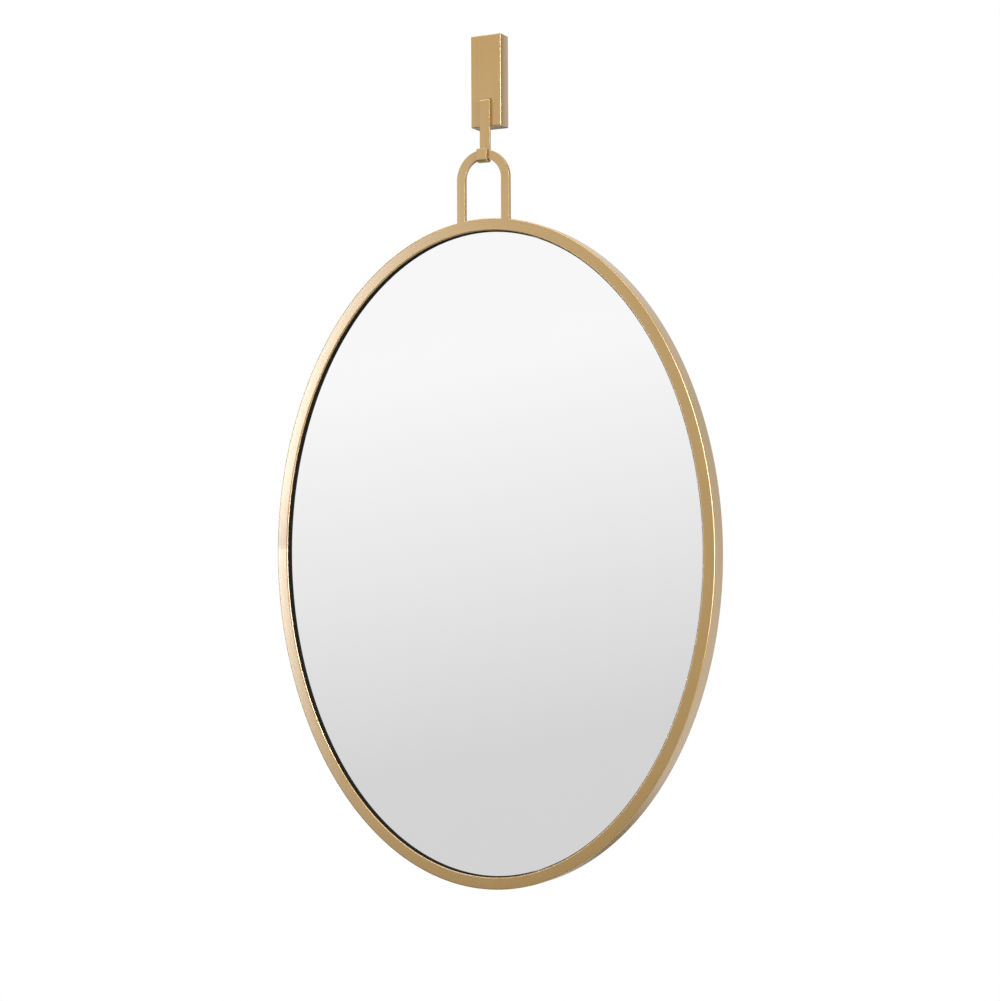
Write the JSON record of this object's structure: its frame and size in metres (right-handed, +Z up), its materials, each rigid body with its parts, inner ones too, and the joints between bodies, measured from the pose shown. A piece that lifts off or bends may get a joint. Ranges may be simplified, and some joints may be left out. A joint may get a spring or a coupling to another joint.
{
  "type": "oval wall mirror",
  "caption": "Oval mirror in a narrow satin gold tube frame, hung by a welded loop from a hooked strap on a small wall block; it swings on the hook and tilts out from the wall.",
  "frame": {"origin": "on the wall plane, midway between the two wall-screw holes of the plate in the block", "axes": "+Z up, +Y into the wall, so the mirror faces -Y; +X to the right as seen from the room"},
  "size_m": [0.5588, 0.0307, 0.9725],
  "materials": {
    "satin_gold": "satin brushed gold on steel",
    "zinc_steel": "zinc plated",
    "mirror_silver": "polished silvered glass",
    "black_tape": "matt",
    "foam_tape": "matt foam",
    "fibre_board": "smooth pressed fibre board",
    "bumper_rubber": "matt"
  },
  "bodies": {
    "wall_mount": {"wall_plate": "zinc_steel", "wall_block": "satin_gold", "block_screws": "satin_gold"},
    "strap": {"hook_strap": "satin_gold"},
    "mirror": {"frame_ring": "satin_gold", "hanging_loop": "satin_gold", "edge_tape": "black_tape", "mirror_glass": "mirror_silver", "backing_board": "fibre_board", "tab_screws": "zinc_steel", "bonding_strip_1": "foam_tape", "bonding_strip_2": "foam_tape", "bonding_strip_3": "foam_tape", "bonding_strip_4": "foam_tape", "board_tab_1": "zinc_steel", "board_tab_2": "zinc_steel", "board_tab_3": "zinc_steel", "board_tab_4": "zinc_steel", "board_tab_5": "zinc_steel", "board_tab_6": "zinc_steel", "board_tab_7": "zinc_steel", "board_tab_8": "zinc_steel", "wall_bumper_1": "bumper_rubber", "wall_bumper_2": "bumper_rubber", "wall_bumper_3": "bumper_rubber", "wall_bumper_4": "bumper_rubber"}
  },
  "joints": [
    {"name": "strap_tilt", "type": "hinge", "parent": "wall_mount", "child": "strap", "pos_m": [0, -0.018, -0.026], "axis": [-1, 0, 0], "range_deg": [0, 20]},
    {"name": "mirror_swing", "type": "hinge", "parent": "strap", "child": "mirror", "pos_m": [0, -0.025, -0.11311], "axis": [0, 1, 0], "range_deg": [-45, 45]}
  ]
}
